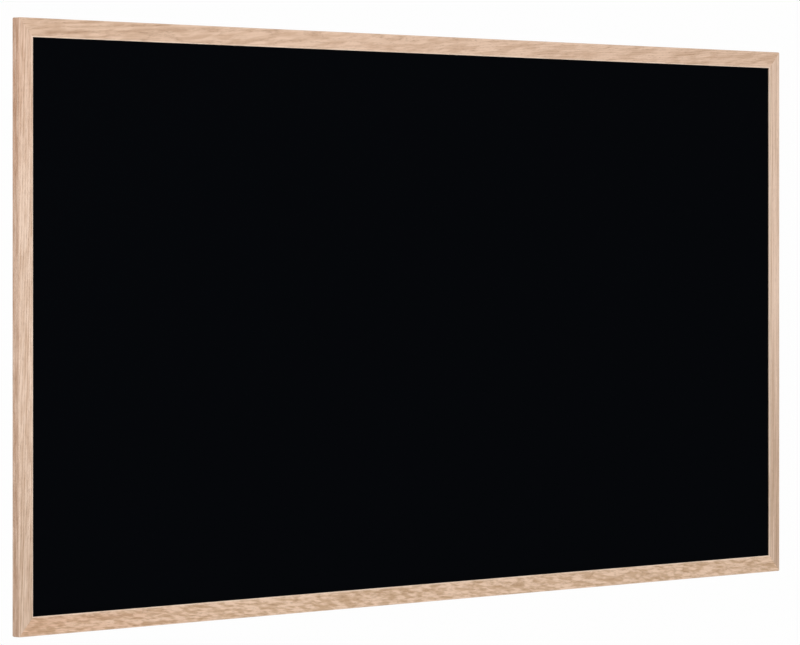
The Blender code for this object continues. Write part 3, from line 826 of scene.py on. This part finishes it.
legs = filleted([
    (NAIL_REACH / 2 - NAIL_CURL, NAIL_SPREAD / 2 + NAIL_CURL, 0),
    (NAIL_REACH / 2, NAIL_SPREAD / 2, NAIL_THICKNESS),
    (-NAIL_REACH / 2, 0, NAIL_THICKNESS),
    (NAIL_REACH / 2, -NAIL_SPREAD / 2, NAIL_THICKNESS),
    (NAIL_REACH / 2 - NAIL_CURL, -NAIL_SPREAD / 2 - NAIL_CURL, 0),
], 4)
nail_outline = strip(legs, NAIL_THICKNESS + 2 * SNUG)
nail_low = BACK_Y - SEAT_GAP - NAIL_DEPTH - SNUG
for height, up in (("top", 1), ("bottom", -1)):
    for hand, over in (("left", -1), ("right", 1)):
        inwards = Vector((-over, 0, -up)).normalized()
        turn = Matrix.Rotation(-math.atan2(inwards.z, inwards.x), 4, "Y")
        for number in (1, 2):
            step_in = REAR_LAND * math.sqrt(2) * number / 3
            place = Vector((over * HALF_WIDTH, 0, up * HALF_HEIGHT)) + inwards * step_in
            matrix = Matrix.Translation(place) @ turn
            for side in (height, hand):
                shape = drawn_out(nail_outline, nail_low, BACK_Y + PAST_BACK, "Y")
                tools[side].append(place_piece(f"nail_slot_{height}_{hand}_{number}_{side}", shape, matrix))
print("slots:", {side: len(cutters) for side, cutters in tools.items()})

# %% [markdown]
# ## Hanger screws
#
# A countersunk wood screw: a flat head with a soft edge, a cone, a shank and a thread. The thread is a
# ridge that climbs as it goes round, so it can be made on the turned body itself: each point is pushed out
# by how near it is to the ridge at its own angle and height. The cross recess is cut with a tapered cross.

# %% Make the screws and the holes that they fill
HEAD_RADIUS = 0.0038
SHANK_RADIUS = 0.0020
PLAIN_SHANK = 0.0012
THREAD_PITCH = 0.0016
THREAD_DEPTH = 0.00042
THREAD_RUN_IN = 0.002
TIP_LENGTH = 0.004
TIP_RADIUS = 0.0003
ROW_HEIGHT = 0.0002
HEAD_CONE = (HEAD_RADIUS - SHANK_RADIUS) / math.tan(math.radians(41))
THREAD_START = -HEAD_CONE - PLAIN_SHANK
TOWARDS_WALL = Matrix.Rotation(-math.pi / 2, 4, "X")


def thread(angle, height):
    """How far the thread stands out at this angle and height."""
    if height > THREAD_START:
        return 0.0
    turn = (height / THREAD_PITCH - angle / (2 * math.pi)) % 1.0
    run_in = min(1.0, (THREAD_START - height) / THREAD_RUN_IN)
    return THREAD_DEPTH * max(0.0, 1.0 - 4.0 * abs(turn - 0.5)) * run_in


def screw_profile(length):
    """The screw's outline without its thread, from the middle of its head down to its tip."""
    core = SHANK_RADIUS - 0.0004
    profile = [(0, 0), (HEAD_RADIUS - 0.00025, 0)]
    profile += [(HEAD_RADIUS - 0.00007, -0.00006), (HEAD_RADIUS, -0.00022)]
    profile += [(SHANK_RADIUS, -HEAD_CONE), (SHANK_RADIUS, THREAD_START)]
    threaded = length - HEAD_CONE - PLAIN_SHANK - TIP_LENGTH
    rows = int(threaded / ROW_HEIGHT)
    for index in range(1, rows + 1):
        profile.append((core, THREAD_START - index * threaded / rows))
    for index in range(1, 21):
        share = index / 20
        radius = core * (1 - share) + TIP_RADIUS * share
        profile.append((radius, -length + TIP_LENGTH * (1 - share)))
    return profile + [(0, -length)]


def cross(arm, half):
    """The outline of a plain cross."""
    points = []
    for quarter in range(4):
        turn = Matrix.Rotation(quarter * math.pi / 2, 2)
        points += [turn @ Vector(point) for point in ((arm, -half), (arm, half), (half, half))]
    return points


screws = []
for hand in ("left", "right"):
    for number in (1, 2, 3):
        node = f"hanger_screw_{hand}_{number}"
        low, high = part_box(node)
        head = Vector(((low.x + high.x) / 2, high.y, (low.z + high.z) / 2))
        length = high.y - low.y
        matrix = Matrix.Translation(head) @ TOWARDS_WALL @ Matrix.Rotation(0.9 * number + low.x, 4, "Z")
        screw = place_piece("plated_" + node, turned(screw_profile(length), 32, thread), matrix)
        recess = drawn_out(cross(0.0021, 0.00045), -0.0023, 0.0003, "Z", 0.30)
        carve(screw, [place_piece("recess_" + node, recess, matrix)])
        screws.append((screw, node))
        bore = SHANK_RADIUS + SNUG
        hole = [(0, PAST_BACK), (HEAD_RADIUS, PAST_BACK), (HEAD_RADIUS, 0), (bore, -HEAD_CONE)]
        hole += [(bore, TIP_LENGTH - length), (0.0004, -length - 0.0002), (0, -length - 0.0002)]
        tools[hand].append(place_piece("hole_" + node, turned(hole, 32), matrix))
print("screws:", len(screws), "each", round(length * 1000, 1), "mm long")

# %% Carve the sticks and give them their oak
for side, stick in sticks.items():
    carve(stick, tools[side])
    fit(crisp(stick), oak[side], "framed_board", SIDES[side][3])
print("carved sticks:", {side: len(stick.data.polygons) for side, stick in sticks.items()}, "faces")

for screw, node in screws:
    fit(crisp(screw), bright_zinc, "framed_board", node)

# %% [markdown]
# ## Strap hangers
#
# Each hanger is one steel strip, folded back on itself round the ring's straight bar, so that both layers
# lie on the wood and share three screws. Seen end on it is a thin strip along a bent path, which gives its
# outline. The outline is drawn out to the strap's width, its lower corners are rounded, all its stamped
# edges are softened, and then the three countersunk holes go through both layers.

# %% Make the two straps
STRAP_THICKNESS = 0.0012
STRAP_WIDTH = 0.0140
LOOP_RADIUS = 0.00185
AXIS_HEIGHT = SEAT_GAP + STRAP_THICKNESS + LOOP_RADIUS
FOLD_ANGLE = math.radians(60)
FOLD_RADIUS = 0.0012
FOOT_RADIUS = 0.005
STAMPED_ROUND = 0.00018
HEAD_ROOM = 0.00012
SHANK_ROOM = 0.0003
HOLE_DEPTH = 0.006


def fold_path(length):
    """Up the wood, round the ring's bar and back down, as (height off the wood, height up the strap)."""
    inner = SEAT_GAP + STRAP_THICKNESS / 2
    outer = inner + STRAP_THICKNESS + SEAT_GAP
    loop = arc((AXIS_HEIGHT, 0), LOOP_RADIUS + STRAP_THICKNESS / 2, math.pi, -FOLD_ANGLE, 28)
    leaves = loop[-1]
    drop = (leaves.x - outer) / math.tan(FOLD_ANGLE)
    corners = [(leaves.x, leaves.y, 0), (outer, leaves.y - drop, FOLD_RADIUS), (outer, -length, 0)]
    return [Vector((inner, -length))] + loop + filleted(corners, 6)[1:]


def soften(shape, edges, width, segments):
    """Rounds a few edges of a shape."""
    bmesh.ops.bevel(
        shape, geom=edges, offset=width, segments=segments, profile=0.5, affect="EDGES", clamp_overlap=True
    )


for hand in ("left", "right"):
    node = f"hanger_strap_{hand}"
    low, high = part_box(node)
    axis = Vector(((low.x + high.x) / 2, BACK_Y, high.z - LOOP_RADIUS - STRAP_THICKNESS))
    length = axis.z - low.z
    outline = strip(fold_path(length), STRAP_THICKNESS)
    shape = drawn_out(outline, -STRAP_WIDTH / 2, STRAP_WIDTH / 2, "X")
    foot = [
        edge
        for edge in shape.edges
        if all(abs(vert.co.z + length) < 1e-6 for vert in edge.verts)
        and abs(edge.verts[0].co.x - edge.verts[1].co.x) < 1e-6
    ]
    soften(shape, foot, FOOT_RADIUS, 8)
    stamped = [edge for edge in shape.edges if edge.calc_face_angle(0) > math.radians(50)]
    soften(shape, stamped, STAMPED_ROUND, 2)
    strap = place_piece("plated_" + node, shape, Matrix.Translation(axis))
    holes = []
    for number in (1, 2, 3):
        screw_low, screw_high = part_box(f"hanger_screw_{hand}_{number}")
        place = Vector((axis.x, screw_high.y, (screw_low.z + screw_high.z) / 2))
        top = HEAD_RADIUS + HEAD_ROOM
        bore = SHANK_RADIUS + SHANK_ROOM
        hole = [(0, PAST_BACK), (top, PAST_BACK), (top, 0)]
        hole += [(bore, -HEAD_CONE), (bore, -HOLE_DEPTH), (0, -HOLE_DEPTH)]
        matrix = Matrix.Translation(place) @ TOWARDS_WALL
        holes.append(place_piece(f"strap_hole_{hand}_{number}", turned(hole, 40), matrix))
    carve(strap, holes)
    fit(crisp(strap), bright_zinc, "framed_board", node)
    print(node, "is", round(length * 1000, 1), "mm below its ring's bar")

# %% [markdown]
# ## D rings
#
# A ring is round wire bent to a D: a straight bar in the strap's fold, two short sides and a bow. A circle
# of points swept along that closed path makes it. The wire's two ends are butt welded in the middle of the
# bar, where the fold hides them, so the weld is a low swelling there.

# %% Make the two rings
RING_WIRE = 0.0030
RING_CORNER = 0.0030
RING_SIDE = 0.0040
RING_SIDE_ROOM = 0.0006
RING_HALF_WIDTH = STRAP_WIDTH / 2 + RING_SIDE_ROOM + RING_CORNER
WIRE_SIDES = 24
WELD_RISE = 0.00010
WELD_LENGTH = 0.0009


def ring_path():
    """The middle line of the wire, with the bar at height 0."""
    shoulder = -RING_CORNER - RING_SIDE
    over = RING_HALF_WIDTH - RING_CORNER
    bar = [Vector((x, 0)) for x in (-0.0052, -0.0026, -0.0012, 0, 0.0012, 0.0026, 0.0052)]
    corner_left = arc((-over, -RING_CORNER), RING_CORNER, math.pi, math.pi / 2, 8)
    corner_right = arc((over, -RING_CORNER), RING_CORNER, math.pi / 2, 0, 8)
    bow = arc((0, shoulder), RING_HALF_WIDTH, 0, -math.pi, 48)
    return corner_left + bar + corner_right + bow


def wire_ring(path):
    """A round wire swept along a closed path in the XZ plane."""
    shape = bmesh.new()
    rows = []
    for index, point in enumerate(path):
        along = (path[(index + 1) % len(path)] - path[index - 1]).normalized()
        side = Vector((-along.y, 0, along.x))
        weld = WELD_RISE * math.exp(-((point.x / WELD_LENGTH) ** 2)) if point.y == 0 else 0.0
        row = []
        for number in range(WIRE_SIDES):
            angle = 2 * math.pi * number / WIRE_SIDES
            out = math.cos(angle) * side + math.sin(angle) * Vector((0, 1, 0))
            place = Vector((point.x, 0, point.y)) + (RING_WIRE / 2 + weld) * out
            row.append(shape.verts.new(place))
        rows.append(row)
    join_rows(shape, rows + rows[:1])
    return shape


for joint in frame["joints"]:
    hand = joint["name"].split("_")[2]
    node = f"d_ring_{hand}"
    low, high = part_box(node)
    pivot = Vector(joint["pos_m"])
    reach = RING_CORNER + RING_SIDE + RING_HALF_WIDTH
    tilt = math.asin((high.y - RING_WIRE / 2 - pivot.y) / reach)
    matrix = Matrix.Translation(pivot) @ Matrix.Rotation(tilt, 4, "X")
    ring = place_piece("plated_" + node, wire_ring(ring_path()), matrix)
    fit(crisp(ring, 60.0), bright_zinc, joint["child"], node)
    print(node, "leans out by", round(math.degrees(tilt), 2), "degrees")

# %% [markdown]
# ## Wall bumpers
#
# A bumper is a small moulded rubber stud, wider at its foot, with a rounded rim and a shallow dimple in the
# middle of its end. It is a plain turned form, made with enough steps that its outline stays round.

# %% Make the four bumpers
DIMPLE_DEPTH = 0.0005
for height in ("top", "bottom"):
    for hand in ("left", "right"):
        node = f"wall_bumper_{height}_{hand}"
        low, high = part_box(node)
        tall = high.y - low.y
        foot_radius = (high.x - low.x) / 2
        profile = filleted([
            (0, tall - DIMPLE_DEPTH, 0),
            (0.0016, tall - DIMPLE_DEPTH, 0.0004),
            (0.0022, tall, 0.0004),
            (0.0054, tall, 0.0012),
            (foot_radius, 0.0007, 0.0003),
            (foot_radius, 0, 0.0002),
            (0, 0, 0),
        ], 5)
        foot = Vector(((low.x + high.x) / 2, low.y, (low.z + high.z) / 2))
        matrix = Matrix.Translation(foot) @ TOWARDS_WALL
        bumper = place_piece("rubber_" + node, turned(profile, 56), matrix)
        fit(crisp(bumper), rubber, "framed_board", node)
print("bumpers stand", round(tall * 1000, 1), "mm off the frame")

# %% [markdown]
# ## Pieces that keep their measured shape
#
# The face sheet, the core and the backing are flat sheets, and the nails and points are small bent or
# stamped steel. Their measured shapes are already right, so they only get their finishes.

# %% Finish the kept pieces
kept = {"writing_surface": chalk, "core_board": fibreboard, "backing_sheet": foil}
for name in frame["nodes"]:
    if name.startswith(("mitre_nail", "panel_point")):
        kept[name] = dull_zinc
for name, finish in kept.items():
    frame["nodes"][name].material_slots[0].material = finish
print("kept pieces:", len(kept))

# %% [markdown]
# ## Stage and light
#
# The photograph has a plain white ground and even studio light. The board hangs, so the pale floor lies
# well below it, catches only a soft shadow and fades out towards its rim. What the camera sees behind the
# board is plain white, but the light that falls on the board from there is half as strong, because a fully
# white ground would wash its finishes out.

# %% Make the floor
FLOOR_RADIUS = 7.0
FADE_RADIUS = 2.2
FLOOR_DROP = 0.9
floor_shape = turned([(0, 0), (2.5, 0), (5.0, 0), (FLOOR_RADIUS, 0)], 96)
floor = place_piece("floor", floor_shape, Matrix.Translation((0, 0, -HALF_HEIGHT - FLOOR_DROP)))
floor_paint, tree, shader, place = new_material("pale_floor")
grit = use_group(tree, grit_group, {"Place": place, "Grains Per Metre": 160.0})
tone = tint(tree, grit["Cloud"], (0.90, 0.90, 0.90, 1.0), (0.94, 0.94, 0.94, 1.0))
tree.links.new(tone, shader.inputs["Base Color"])
shader.inputs["Roughness"].default_value = 0.9
shader.inputs["Specular IOR Level"].default_value = 0.1
reach = put(tree, "VectorMath", {0: place}, operation="LENGTH").outputs["Value"]
tree.links.new(step(tree, reach, FADE_RADIUS, FLOOR_RADIUS, 1.0, 0.0), shader.inputs["Alpha"])
floor.data.materials.append(floor_paint)
floor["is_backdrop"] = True
print("floor lies", round(-floor.location.z, 3), "m below the board's middle")

# %% Make the world
world = bpy.data.worlds.new("white_ground")
bpy.context.scene.world = world
world.use_nodes = True
tree = world.node_tree
ground = tree.nodes["Background"]
rays = put(tree, "LightPath").outputs
seen = calc(tree, "MAXIMUM", rays["Is Camera Ray"], rays["Is Glossy Ray"])
seen = calc(tree, "MAXIMUM", seen, rays["Is Transmission Ray"])
light = tint(tree, seen, (0.50, 0.50, 0.50, 1.0), (0.99, 0.99, 0.99, 1.0))
tree.links.new(light, ground.inputs["Color"])
ground.inputs["Strength"].default_value = 1.0
print("world: white where it is seen, half as strong as light")


# %% Make the lamps
def soft_lamp(name, place, target, size, power):
    """A large square lamp aimed at a point."""
    data = bpy.data.lights.new(name, "AREA")
    data.size = size
    data.energy = power
    lamp = bpy.data.objects.new(name, data)
    lamp.location = place
    lamp.rotation_euler = (Vector(target) - Vector(place)).to_track_quat("-Z", "Y").to_euler()
    bpy.context.scene.collection.objects.link(lamp)
    return lamp


lamps = [
    soft_lamp("key_lamp", (-2.6, -4.6, 2.6), (-0.2, 0, 0), 3.0, 120.0),
    soft_lamp("fill_lamp", (3.4, -4.4, 0.8), (0.2, 0, 0), 3.0, 50.0),
    soft_lamp("side_lamp", (-5.2, -1.2, 0.8), (-1.2, 0, 0), 2.5, 43.0),
    soft_lamp("back_lamp", (1.2, 4.8, 2.4), (0, 0, 0), 3.0, 150.0),
]
bpy.context.scene.view_settings.view_transform = "Standard"
print("lamps:", [lamp.name for lamp in lamps])

# %% Write the sizes and finish
low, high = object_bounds()
print("dressed model in metres:", [round(b - a, 5) for a, b in zip(low, high)])
